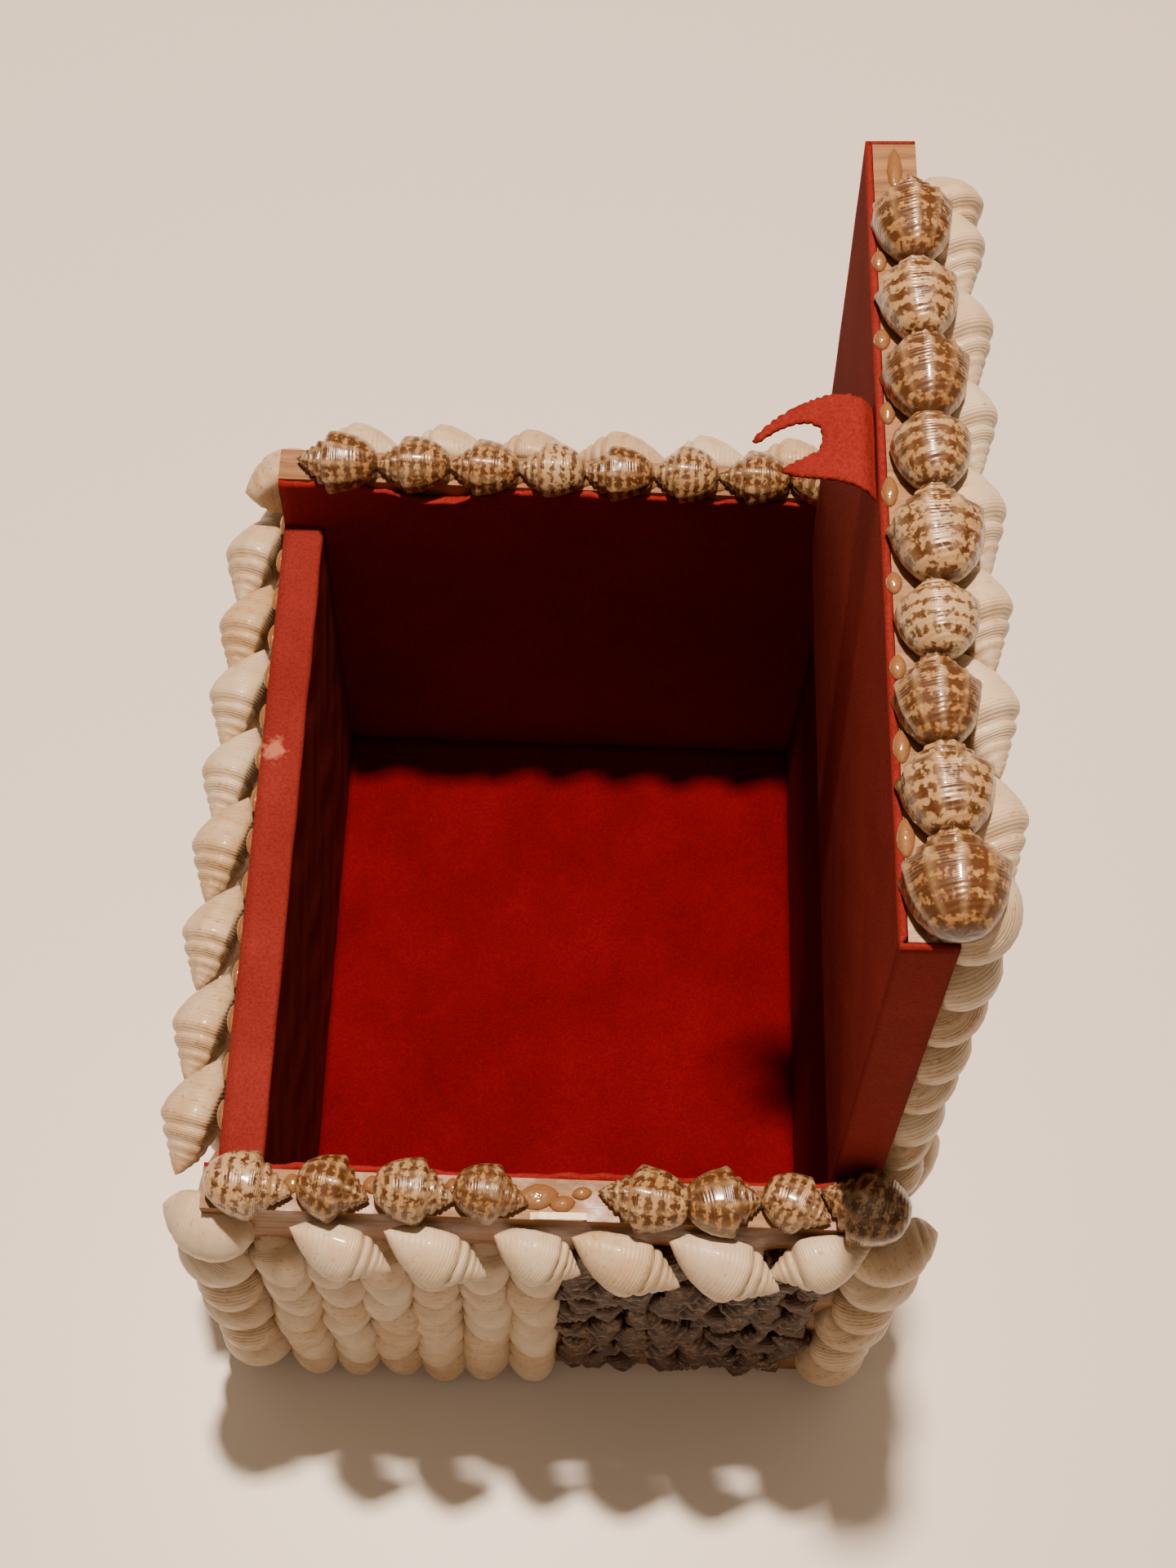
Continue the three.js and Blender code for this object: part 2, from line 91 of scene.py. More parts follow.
bpy.context.scene.camera = camera


# Boards: thin sawn softwood, glued and nailed. Only the end boards' top edges and the lid's free edge
# are seen, with dried glue drawn along them. The nails that the lid turns on are plain steel wire.
def new_material(name, roughness, metallic=0.0):
    made = bpy.data.materials.new(name)
    made.use_nodes = True
    shader = made.node_tree.nodes["Principled BSDF"]
    shader.inputs["Roughness"].default_value = roughness
    shader.inputs["Metallic"].default_value = metallic
    return made, made.node_tree.nodes, made.node_tree.links, shader


def add_node(nodes, kind, **values):
    node = nodes.new(kind)
    for name, value in values.items():
        if name in node.inputs:
            node.inputs[name].default_value = value
        else:
            setattr(node, name, value)
    return node


def add_ramp(nodes, links, source, stops):
    ramp = nodes.new("ShaderNodeValToRGB")
    band = ramp.color_ramp
    while len(band.elements) < len(stops):
        band.elements.new(0.5)
    for element, (place, colour) in zip(band.elements, stops):
        element.position = place
        element.color = (*colour, 1)
    links.new(source, ramp.inputs["Fac"])
    return ramp.outputs["Color"]


def feed(links, socket, value):
    """Gives an input its value: another node's output, a colour or a number."""
    if isinstance(value, bpy.types.NodeSocket):
        links.new(value, socket)
    elif isinstance(value, tuple):
        socket.default_value = (*value, 1)
    else:
        socket.default_value = value


def add_mix(nodes, links, factor, first, second, blend="MIX"):
    mix = nodes.new("ShaderNodeMix")
    mix.data_type = "RGBA"
    mix.blend_type = blend
    feed(links, mix.inputs[0], factor)
    feed(links, mix.inputs[6], first)
    feed(links, mix.inputs[7], second)
    return mix.outputs[2]


def add_math(nodes, links, operation, *values):
    node = add_node(nodes, "ShaderNodeMath", operation=operation)
    for socket, value in zip(node.inputs, values):
        feed(links, socket, value)
    return node.outputs["Value"]


def add_range(nodes, links, value, **settings):
    node = nodes.new("ShaderNodeMapRange")
    for name, setting in settings.items():
        node.inputs[name.replace("_", " ")].default_value = setting
    links.new(value, node.inputs["Value"])
    return node


def add_noise(nodes, links, place, scale, detail, roughness=0.5):
    noise = add_node(nodes, "ShaderNodeTexNoise", Scale=scale, Detail=detail, Roughness=roughness)
    links.new(place, noise.inputs["Vector"])
    return noise.outputs["Fac"]


def object_place(nodes):
    return add_node(nodes, "ShaderNodeTexCoord").outputs["Object"]


def add_bump(nodes, links, height, shader, strength, distance):
    bump = nodes.new("ShaderNodeBump")
    bump.inputs["Strength"].default_value = strength
    bump.inputs["Distance"].default_value = distance
    links.new(height, bump.inputs["Height"])
    links.new(bump.outputs["Normal"], shader.inputs["Normal"])


wood, nodes, links, shader = new_material("sawn_wood", 0.55)
place = object_place(nodes)
stretch = add_node(nodes, "ShaderNodeMapping", Scale=(60, 900, 900))
links.new(place, stretch.inputs["Vector"])
grain = add_noise(nodes, links, stretch.outputs["Vector"], 1.0, 6.0, 0.6)
blot = add_noise(nodes, links, place, 140.0, 4.0, 0.6)
grain_stops = [(0.30, (0.11, 0.043, 0.009)), (0.5, (0.22, 0.098, 0.024)), (0.72, (0.32, 0.165, 0.050))]
grain_colour = add_ramp(nodes, links, grain, grain_stops)
glue_smear = add_ramp(nodes, links, blot, [(0.46, (0, 0, 0)), (0.68, (0.8, 0.8, 0.8))])
stained = add_mix(nodes, links, glue_smear, grain_colour, (0.26, 0.10, 0.045))
links.new(stained, shader.inputs["Base Color"])
gloss = add_range(nodes, links, glue_smear, To_Min=0.6, To_Max=0.22)
links.new(gloss.outputs["Result"], shader.inputs["Roughness"])
add_bump(nodes, links, grain, shader, 0.35, 0.3 * mm)

steel, nodes, links, shader = new_material("nail_steel", 0.38, 1.0)
shader.inputs["Base Color"].default_value = (0.42, 0.41, 0.40, 1)
scuff = add_node(nodes, "ShaderNodeTexNoise", Scale=900.0, Detail=3.0)
add_bump(nodes, links, scuff.outputs["Fac"], shader, 0.2, 0.1 * mm)


def paint_node(name, finish):
    carried = frame["nodes"][name]
    carried.data.materials.clear()
    carried.data.materials.append(finish)


for board in ("bottom", "left", "right", "front", "back"):
    paint_node("board_" + board, wood)
paint_node("lid_board", wood)
paint_node("hinge_pin_front", steel)
paint_node("hinge_pin_back", steel)


# Velvet linings: short-pile red cloth glued to the boards, one piece to a face. The side pieces turn over
# the tops of the boards, and the end pieces run up to the raw top edge, where they have begun to fray.
cloth_thick = 0.9 * mm
cloth_step = 2.2 * mm
floor_tuck = 0.5 * mm
cloth_wave = 0.1 * mm


def cloth_panel(name, across, along, surface, keep=None, rim=1.0):
    """A closed sheet over a grid: surface(a, b, h) is the place at height h above the glued face."""
    rows, columns = len(across) - 1, len(along) - 1
    cells = np.ones((rows, columns), bool)
    if keep:
        for i in range(rows):
            for j in range(columns):
                cells[i, j] = keep((across[i] + across[i + 1]) / 2, (along[j] + along[j + 1]) / 2)
    padded = np.pad(cells, 1)
    points, faces, numbers = [], [], {}

    def corner(i, j, upper):
        key = (i, j, upper)
        if key not in numbers:
            numbers[key] = len(points)
            inner = padded[i : i + 2, j : j + 2].all()
            height = (cloth_thick if inner else rim * cloth_thick) if upper else 0
            points.append(surface(across[i], along[j], height))
        return numbers[key]

    for i in range(rows):
        for j in range(columns):
            if not cells[i, j]:
                continue
            ring = [(i, j), (i + 1, j), (i + 1, j + 1), (i, j + 1)]
            faces.append([corner(*at, True) for at in ring])
            faces.append([corner(*at, False) for at in reversed(ring)])
            for step, (di, dj) in enumerate(((0, -1), (1, 0), (0, 1), (-1, 0))):
                if not padded[i + 1 + di, j + 1 + dj]:
                    first, second = ring[step], ring[(step + 1) % 4]
                    faces.append(
                        [
                            corner(*first, True),
                            corner(*first, False),
                            corner(*second, False),
                            corner(*second, True),
                        ]
                    )
    data = bpy.data.meshes.new(name)
    data.from_pydata(points, [], faces)
    shape = bmesh.new()
    shape.from_mesh(data)
    bmesh.ops.recalc_face_normals(shape, faces=shape.faces)
    shape.to_mesh(data)
    shape.free()
    data.polygons.foreach_set("use_smooth", [True] * len(data.polygons))
    made = bpy.data.objects.new(name, data)
    bpy.context.scene.collection.objects.link(made)
    return made


def steps(low, high, size, *stops):
    count = max(2, round((high - low) / size))
    return sorted({round(x, 7) for x in (*np.linspace(low, high, count + 1), *stops)})


def uneven(a, b, h, size=cloth_wave):
    """Height h, lowered a little here and there as cloth is over hand-brushed glue; the glued face stays flat."""
    wave = math.sin(a * 310 + 2 * math.sin(b * 190)) + math.sin(b * 420 + 3 * math.sin(a * 150))
    return h + (size * wave / 2 - size) if h else 0


def velvet_material(name, dark, light, worn, sheen=0.04):
    made, nodes, links, shader = new_material(name, 0.85)
    shader.inputs["Sheen Weight"].default_value = sheen
    shader.inputs["Sheen Roughness"].default_value = 0.45
    shader.inputs["Sheen Tint"].default_value = (0.9, 0.22, 0.16, 1)
    shader.inputs["Specular IOR Level"].default_value = 0.04
    place = object_place(nodes)
    pile = add_noise(nodes, links, place, 1900.0, 3.0, 0.7)
    base = add_ramp(nodes, links, add_noise(nodes, links, place, 55.0, 5.0, 0.65), [(0.32, dark), (0.68, light)])
    fuzz = add_ramp(nodes, links, pile, [(0.35, (0.75, 0.75, 0.75)), (0.62, (1.1, 1.1, 1.1))])
    coloured = add_mix(nodes, links, 1.0, base, fuzz, "MULTIPLY")
    lint = add_node(nodes, "ShaderNodeTexVoronoi", Scale=120.0)
    links.new(place, lint.inputs["Vector"])
    speck = add_ramp(nodes, links, lint.outputs["Distance"], [(0.0, (0.8, 0.8, 0.8)), (0.05, (0, 0, 0))])
    seldom = add_ramp(nodes, links, add_noise(nodes, links, place, 260.0, 1.0), [(0.66, (0, 0, 0)), (0.7, (1, 1, 1))])
    fleck = add_mix(nodes, links, 1.0, speck, seldom, "MULTIPLY")
    coloured = add_mix(nodes, links, fleck, coloured, (0.45, 0.16, 0.12))
    if worn:
        centre, radius = worn
        offset = add_node(nodes, "ShaderNodeVectorMath", operation="DISTANCE")
        links.new(place, offset.inputs[0])
        offset.inputs[1].default_value = centre
        ragged = add_noise(nodes, links, place, 700.0, 4.0)
        reach = add_math(nodes, links, "MULTIPLY_ADD", ragged, 3 * radius, offset.outputs["Value"])
        patch = add_range(nodes, links, reach, From_Min=2.7 * radius, From_Max=2.0 * radius)
        coloured = add_mix(nodes, links, patch.outputs["Result"], coloured, (0.36, 0.12, 0.075))
    links.new(coloured, shader.inputs["Base Color"])
    add_bump(nodes, links, pile, shader, 0.6, 0.3 * mm)
    return made


def lay_cloth(piece, body, node, finish, flat, area=None):
    piece.data.materials.append(finish)
    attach(piece, body)
    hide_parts(*node)


velvet = velvet_material("red_velvet", (0.105, 0.0008, 0.0014), (0.145, 0.0014, 0.002), None, 0.02)
floor_low, floor_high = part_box("lining_floor")
board_low, board_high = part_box("board_left")
band_low, band_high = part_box("lining_left")
right_low, right_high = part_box("lining_right")
end_low, end_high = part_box("lining_back")
half_depth = floor_high[1]
xs = steps(floor_low[0] - floor_tuck, floor_high[0] + floor_tuck, cloth_step)
ys = steps(floor_low[1], floor_high[1], cloth_step)
floor_cloth = cloth_panel("floor_velvet", xs, ys, lambda x, y, h: (x, y, floor_low[2] + uneven(x, y, h)))
floor_flat = (floor_high[0] - floor_low[0], 2 * half_depth)
lay_cloth(floor_cloth, "box", ["lining_floor"], velvet, floor_flat)


def turned_over(x_wall, x_far, z_low, z_top, way):
    """The path of a side piece: up the board's inner face, over its rounded top and across to the far edge."""
    height, reach = z_top - cloth_thick - z_low, abs(x_far - x_wall)
    bend = cloth_thick * 1.5708

    def surface(s, y, h):
        lift = uneven(s, y, h)
        if s < height:
            return (x_wall + way * lift, y, z_low + s)
        share = max(0.0, min(1.0, (s - height) / bend))
        if share < 1:
            turn = share * math.pi / 2
            return (x_wall + way * lift * math.cos(turn), y, z_low + height + lift * math.sin(turn))
        out = s - height - bend
        return (x_wall - way * min(out, reach), y, z_low + height + lift)

    total = height + bend + reach
    bend_stops = np.linspace(height, height + bend, 4)
    return surface, steps(0, total, 2.0 * mm, *bend_stops), total


worn_spot = ((-53.0 * mm, 16.5 * mm, band_high[2]), 2.4 * mm)
# The side piece's cloth is painted lighter overall than the floor's, as painted fill light for its shaded inner face;
# the rubbed patch on its top is real wear.
worn_fill_lit_band_velvet = velvet_material("worn_fill_lit_red_velvet", (0.155, 0.015, 0.012), (0.195, 0.022, 0.017), worn_spot)
surface, path, total = turned_over(board_high[0], board_low[0], band_low[2], band_high[2], 1)
left_cloth = cloth_panel("left_velvet", path, ys, surface)
lay_cloth(left_cloth, "box", ["lining_left"], worn_fill_lit_band_velvet, (total, 2 * half_depth))
far_low, far_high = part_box("board_right")
surface, path, total = turned_over(far_low[0], far_high[0], right_low[2], right_high[2], -1)
right_cloth = cloth_panel("right_velvet", path, ys, surface)
lay_cloth(right_cloth, "box", ["lining_right"], velvet, (total, 2 * half_depth))

end_xs = steps(end_low[0], end_high[0], 1.8 * mm, board_high[0], far_low[0])
end_zs = steps(end_low[2], end_high[2], 1.5 * mm, board_high[2], far_high[2])
frayed_band = 5 * mm


def end_keeps(x, z):
    """An end piece covers the inside between the side boards and runs out over their top edges."""
    return board_high[0] < x < far_low[0] or z > (board_high[2] if x < 0 else far_high[2])


def end_surface(y_board, way, curl):
    def surface(x, z, h):
        lift = uneven(x, z, h)
        edge = max(0.0, (z - (end_high[2] - frayed_band)) / frayed_band)
        loose = curl(x) * edge**2
        fray = 0.35 * mm * edge**4 * (math.sin(x * 900) + math.sin(x * 2300 + 1) - 1.6)
        return (x, y_board + way * (lift + loose), z - 0.45 * loose + fray)

    return surface


def back_curl(x):
    """The top of the back piece has come away from the board and rolled inwards near its left end."""
    rolled = math.exp(-(((x + 26 * mm) / (9 * mm)) ** 2))
    loosened = math.exp(-(((x - 30 * mm) / (20 * mm)) ** 2))
    return 2.6 * mm * rolled + 0.5 * mm * loosened


end_area = (end_high[0] - end_low[0]) * (end_high[2] - end_low[2]) - (
    (board_high[0] - board_low[0]) * (board_high[2] - end_low[2])
    + (far_high[0] - far_low[0]) * (far_high[2] - end_low[2])
)
end_flat = (end_high[0] - end_low[0], end_high[2] - end_low[2])
# The end pieces' cloth is the floor's velvet painted lighter, as painted fill light on their shaded upright inner
# faces.
fill_lit_wall_velvet = velvet_material("painted_fill_red_velvet", (0.19, 0.011, 0.010), (0.24, 0.017, 0.015), None)
back_cloth = cloth_panel("back_velvet", end_xs, end_zs, end_surface(end_high[1], -1, back_curl), end_keeps)
lay_cloth(back_cloth, "box", ["lining_back"], fill_lit_wall_velvet, end_flat, end_area)
front_surface = end_surface(-end_high[1], 1, lambda x: 0.3 * mm * (1 + math.sin(x * 140)))
front_cloth = cloth_panel("front_velvet", end_xs, end_zs, front_surface, end_keeps)
lay_cloth(front_cloth, "box", ["lining_front"], fill_lit_wall_velvet, end_flat, end_area)


# Rim shells: small glossy whelks laid end to end on the end boards' top edges, cream with brown spots
# and bands, no two alike. Each sits on its mouth in a bead of glue.
shape_store = bpy.data.collections.new("shell_shapes")


def spiral_shell(name, rings, around, profile, last, growth, swell, ribs=0, rib=0.0, lip=0.0, flat=0.22):
    """A coiled shell one unit long, its tip at +X, drawn as a lathe whose radius follows the whorls.

    The last whorl begins at `last` of the length and each whorl is `growth` times the one before. `swell` is
    how far the whorls bulge between their grooves, `rib` how far the `ribs` knobs round each whorl stand out,
    `lip` how far the mouth's edge flares, and below `flat` the mouth side is pressed level.
    """
    knob_fade, lip_angle, lip_spread = 0.14, 5.4, 0.4
    knots = np.array(profile)
    points, grooves, knobs = [(0.5, 0, 0)], [1.0], [0.0]
    levels = [((i + 1) / (rings + 1)) ** 1.08 for i in range(rings)]
    for v in levels:
        radius = float(np.interp(v, knots[:, 0], knots[:, 1])) * 0.5
        for k in range(around):
            angle = 2 * math.pi * k / around
            coil = math.log(v / last) / math.log(growth) + angle / (2 * math.pi)
            if coil < 0:
                # between the grooves of the spire
                part = coil - math.floor(coil)
                rise = swell * (math.sin(math.pi * part) ** 0.6 - 0.55)
                shoulder = math.exp(-(((part - 0.42) / 0.22) ** 2))
                groove = 1 - math.sin(math.pi * part) ** 0.5
            else:
                # on the last whorl, below its own groove
                gap = v - last * growth ** (-angle / (2 * math.pi))
                rise = swell * (0.45 - math.exp(-gap / 0.03)) * math.exp(-gap / 0.35)
                shoulder = math.exp(-(((gap - 0.09) / 0.07) ** 2))
                groove = math.exp(-gap / 0.02)
            knob = rib * (0.35 + 0.65 * shoulder) * max(0.0, math.cos(ribs * angle)) ** 1.5
            if v > 1 - knob_fade:
                knob *= (1 - v) / knob_fade
            flare = math.exp(-(((angle - lip_angle) / lip_spread) ** 2))
            edge = lip * flare * math.sin(math.pi * min(1, v * 1.02)) ** 2
            r = radius * (1 + rise + knob + edge)
            y, z = r * math.cos(angle - math.pi / 2), r * math.sin(angle - math.pi / 2)
            if z < -flat:
                z = -flat + (z + flat) * 0.2
            points.append((0.5 - v, y, z + 0.06 * (v - 0.5) * (v > 0.5)))
            grooves.append(groove)
            knobs.append(min(1.0, knob / rib) if rib else 0.0)
    points.append((-0.5, 0, 0.03))
    grooves.append(0.5)
    knobs.append(0.0)
    faces, corners = [], []
    level_all = [0.0, *levels, 1.0]

    def spot(ring, k):
        v = max(level_all[ring], 0.004)
        return (math.log(v / last) / math.log(growth) + k / around, level_all[ring])

    for k in range(around):
        faces.append((0, 1 + k, 1 + (k + 1) % around))
        corners += [spot(0, k + 0.5), spot(1, k), spot(1, k + 1)]
    for ring in range(rings - 1):
        low, high = 1 + ring * around, 1 + (ring + 1) * around
        for k in range(around):
            after = (k + 1) % around
            faces.append((low + k, high + k, high + after, low + after))
            corners += [spot(ring + 1, k), spot(ring + 2, k), spot(ring + 2, k + 1), spot(ring + 1, k + 1)]
    low = 1 + (rings - 1) * around
    for k in range(around):
        faces.append((low + k, len(points) - 1, low + (k + 1) % around))
        corners += [spot(rings, k), spot(rings + 1, k + 0.5), spot(rings, k + 1)]
    data = bpy.data.meshes.new(name)
    data.from_pydata(points, [], faces)
    coil_map = data.uv_layers.new(name="coil")
    coil_map.data.foreach_set("uv", np.array(corners, np.float32).ravel())
    data.attributes.new("groove", "FLOAT", "POINT").data.foreach_set("value", grooves)
    data.attributes.new("knob", "FLOAT", "POINT").data.foreach_set("value", knobs)
    data.polygons.foreach_set("use_smooth", [True] * len(faces))
    made = bpy.data.objects.new(name, data)
    shape_store.objects.link(made)
    return made


whelk_profile = [
    (0, 0), (0.06, 0.16), (0.15, 0.34), (0.25, 0.54), (0.34, 0.74), (0.42, 0.95), (0.48, 1.0), (0.58, 1.0),
    (0.70, 0.94), (0.82, 0.80), (0.92, 0.60), (0.97, 0.42), (1, 0.0),
]
conch_profile = [
    (0, 0), (0.04, 0.14), (0.12, 0.32), (0.22, 0.54), (0.32, 0.78), (0.40, 0.96), (0.45, 1.0), (0.55, 0.97),
    (0.68, 0.82), (0.80, 0.58), (0.90, 0.32), (1, 0.0),
]
whelks = bpy.data.collections.new("whelks")
for number, (ribs, rib, swell) in enumerate([(11, 0.06, 0.26), (10, 0.10, 0.28), (13, 0.04, 0.24), (9, 0.12, 0.26)]):
    made = spiral_shell(f"whelk_{number}", 56, 40, whelk_profile, 0.42, 1.45, swell, ribs, rib, 0.10)
    whelks.objects.link(made)


def shell_layer(name, shapes, rows, finish, body, nodes_replaced):
    """Sets a shape on every row (place, tip direction, outward direction, size, kind, tint)."""
    points = bpy.data.meshes.new(name + "_points")
    points.from_pydata([tuple(row[0]) for row in rows], [], [])
    turns, sizes, kinds, tints = [], [], [], []
    for _, tip, out, size, kind, tint in rows:
        x = Vector(tip).normalized()
        y = Vector(out).cross(x).normalized()
        z = x.cross(y)
        turns += Matrix((x, y, z)).transposed().to_euler()
        sizes += size
        kinds.append(kind)
        tints.append(tint)
    points.attributes.new("turn", "FLOAT_VECTOR", "POINT").data.foreach_set("vector", turns)
    points.attributes.new("size", "FLOAT_VECTOR", "POINT").data.foreach_set("vector", sizes)
    points.attributes.new("kind", "INT", "POINT").data.foreach_set("value", kinds)
    points.attributes.new("tint", "FLOAT", "POINT").data.foreach_set("value", tints)
    holder = bpy.data.objects.new(name + "_points", points)
    bpy.context.scene.collection.objects.link(holder)
    modifier = holder.modifiers.new("shells", "NODES")
    modifier.node_group = shell_tree
    for socket in shell_tree.interface.items_tree:
        if socket.name == "Shapes":
            modifier[socket.identifier] = shapes
        if socket.name == "Finish":
            modifier[socket.identifier] = finish
    graph = bpy.context.evaluated_depsgraph_get()
    graph.update()
    data = bpy.data.meshes.new_from_object(holder.evaluated_get(graph))
    data.name = name
    bpy.data.objects.remove(holder)
    made = bpy.data.objects.new(name, data)
    bpy.context.scene.collection.objects.link(made)
    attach(made, body)
    if nodes_replaced:
        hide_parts(*nodes_replaced)
    return made


# The tree puts one shape on each point, turned and scaled by the point's own values and shrunk by up to
# `Spread` at random, then makes the copies real and gives them their finish.
shell_tree = bpy.data.node_groups.new("shells_in_glue", "GeometryNodeTree")
shell_tree.interface.new_socket("Geometry", in_out="INPUT", socket_type="NodeSocketGeometry")
shell_tree.interface.new_socket("Shapes", in_out="INPUT", socket_type="NodeSocketCollection")
shell_tree.interface.new_socket("Finish", in_out="INPUT", socket_type="NodeSocketMaterial")
spread_socket = shell_tree.interface.new_socket("Spread", in_out="INPUT", socket_type="NodeSocketFloat")
spread_socket.default_value = 0.06
seed_socket = shell_tree.interface.new_socket("Seed", in_out="INPUT", socket_type="NodeSocketInt")
seed_socket.default_value = 4
shell_tree.interface.new_socket("Geometry", in_out="OUTPUT", socket_type="NodeSocketGeometry")
tree_nodes, tree_links = shell_tree.nodes, shell_tree.links
given = tree_nodes.new("NodeGroupInput")
result = tree_nodes.new("NodeGroupOutput")


def named(name, kind):
    node = tree_nodes.new("GeometryNodeInputNamedAttribute")
    node.data_type = kind
    node.inputs["Name"].default_value = name
    return node.outputs["Attribute"]


children = tree_nodes.new("GeometryNodeCollectionInfo")
children.inputs["Separate Children"].default_value = True
children.inputs["Reset Children"].default_value = True
tree_links.new(given.outputs["Shapes"], children.inputs["Collection"])
setting = tree_nodes.new("GeometryNodeInstanceOnPoints")
setting.inputs["Pick Instance"].default_value = True
tree_links.new(given.outputs["Geometry"], setting.inputs["Points"])
tree_links.new(children.outputs[0], setting.inputs["Instance"])
tree_links.new(named("kind", "INT"), setting.inputs["Instance Index"])
turning = tree_nodes.new("FunctionNodeEulerToRotation")
tree_links.new(named("turn", "FLOAT_VECTOR"), turning.inputs[0])
tree_links.new(turning.outputs[0], setting.inputs["Rotation"])
least = tree_nodes.new("ShaderNodeMath")
least.operation = "SUBTRACT"
least.inputs[0].default_value = 1.0
tree_links.new(given.outputs["Spread"], least.inputs[1])
shrink = tree_nodes.new("FunctionNodeRandomValue")
shrink.data_type = "FLOAT"
tree_links.new(least.outputs[0], shrink.inputs[2])
shrink.inputs[3].default_value = 1.0
tree_links.new(given.outputs["Seed"], shrink.inputs["Seed"])
sizing = tree_nodes.new("ShaderNodeVectorMath")
sizing.operation = "SCALE"
tree_links.new(named("size", "FLOAT_VECTOR"), sizing.inputs[0])
tree_links.new(shrink.outputs[1], sizing.inputs["Scale"])
tree_links.new(sizing.outputs[0], setting.inputs["Scale"])
real = tree_nodes.new("GeometryNodeRealizeInstances")
tree_links.new(setting.outputs[0], real.inputs[0])
painted = tree_nodes.new("GeometryNodeSetMaterial")
tree_links.new(real.outputs[0], painted.inputs["Geometry"])
tree_links.new(given.outputs["Finish"], painted.inputs["Material"])
tree_links.new(painted.outputs[0], result.inputs[0])


def shell_material(name, pale, deep, spot, spot_range, roughness, coat, crease_shade):
    """Pale to deep body colour, a darker spot colour where flecks and rings meet, and painted shade in the grooves."""
    made, nodes, links, shader = new_material(name, roughness)
    shader.inputs["Coat Weight"].default_value = coat
    shader.inputs["Coat Roughness"].default_value = 0.12
    shader.inputs["Specular IOR Level"].default_value = 0.5 if coat > 0.25 else 0.25
    shader.inputs["Subsurface Weight"].default_value = 0.12
    shader.inputs["Subsurface Scale"].default_value = 0.002
    shader.inputs["Subsurface Radius"].default_value = (1.0, 0.6, 0.35)
    coil = add_node(nodes, "ShaderNodeUVMap", uv_map="coil").outputs["UV"]
    tint = add_node(nodes, "ShaderNodeAttribute", attribute_name="tint").outputs["Fac"]
    groove = add_node(nodes, "ShaderNodeAttribute", attribute_name="groove").outputs["Fac"]
    parts = add_node(nodes, "ShaderNodeSeparateXYZ")
    links.new(coil, parts.inputs["Vector"])
    place = object_place(nodes)
    body = add_noise(nodes, links, place, 230.0, 3.0, 0.6)
    flecks = add_noise(nodes, links, place, 1250.0, 2.0, 0.55)
    base = add_ramp(nodes, links, add_math(nodes, links, "MULTIPLY_ADD", tint, 0.5, body), [(0.40, pale), (0.95, deep)])
    rings_along = add_math(nodes, links, "MULTIPLY", parts.outputs["Y"], 46.0)
    rings = add_math(nodes, links, "SINE", rings_along)
    ringed = add_math(nodes, links, "MULTIPLY_ADD", rings, 0.11, flecks)
    fuller = add_math(nodes, links, "MULTIPLY_ADD", tint, 0.16, ringed)
    spots = add_range(nodes, links, fuller, From_Min=spot_range[0], From_Max=spot_range[1])
    spots.interpolation_type = "SMOOTHSTEP"
    spotted = add_mix(nodes, links, spots.outputs["Result"], base, spot)
    raised = add_node(nodes, "ShaderNodeAttribute", attribute_name="knob").outputs["Fac"]
    spotted = add_mix(nodes, links, add_math(nodes, links, "MULTIPLY", raised, 0.8), spotted, pale)
    # Painted shade: the colour is darkened in the grooves between the whorls, standing in for the shade that gathers
    # there.
    crease = add_range(nodes, links, groove, From_Min=0.35, From_Max=1.0, To_Max=0.75)
    coloured = add_mix(nodes, links, crease.outputs["Result"], spotted, crease_shade)
    links.new(coloured, shader.inputs["Base Color"])
    cords_across = add_math(nodes, links, "MULTIPLY", parts.outputs["X"], 2 * math.pi * 7)
    cords = add_math(nodes, links, "SINE", cords_across)
    relief = add_math(nodes, links, "MULTIPLY_ADD", cords, 0.25, body)
    add_bump(nodes, links, relief, shader, 0.35, 0.3 * mm)
    return made


whelk_finish = shell_material(
    "brown_whelk",
    pale=(0.45, 0.31, 0.165),
    deep=(0.29, 0.145, 0.042),
    spot=(0.080, 0.030, 0.008),
    spot_range=(0.46, 0.63),
    roughness=0.28,
    coat=0.35,
    crease_shade=(0.16, 0.08, 0.04),
)
front_low, front_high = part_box("board_front")
rim_z = front_high[2]
rim_y = 68.8 * mm
back_step = 0.9 * mm
# Each row: place along the board, length, width, turn in degrees, which shape, how dark.
rim_front = [
    (-47.4, 14.4, 10.0, -8, 0, 0.05), (-34.2, 12.6, 9.8, -14, 1, 0.72), (-21.4, 13.6, 9.6, -6, 0, 0.30),
    (-9.6, 12.8, 9.2, -10, 2, 0.66), (14.3, 15.2, 9.6, 170, 1, 0.42), (26.8, 13.6, 10.2, 6, 3, 0.85),
    (38.2, 12.4, 9.2, -24, 0, 0.34), (48.6, 15.2, 11.4, 158, 1, 0.60),
]
rim_back = [
    (-44.2, 15.8, 10.8, 172, 1, 0.70), (-30.5, 15.6, 10.6, 176, 0, 0.60), (-17.4, 14.0, 9.8, 172, 3, 0.55),
    (-4.9, 14.0, 10.4, 174, 2, 0.0), (7.4, 14.0, 9.6, 174, 1, 0.66), (19.8, 13.6, 10.6, 172, 0, 0.30),
    (32.6, 14.6, 9.8, 174, 3, 0.58), (45.8, 13.6, 9.6, -8, 0, 0.40),
]


def rim_rows(row, y):
    made = []
    for x, length, width, turn, kind, tint in row:
        angle = math.radians(turn)
        tip = (math.cos(angle), math.sin(angle), -0.12)
        size = (length * mm, width * mm, width * 0.92 * mm)
        place = (x * mm, y, rim_z + 0.24 * size[2])
        made.append((place, tip, (0, 0, 1), size, kind, tint))
    return made


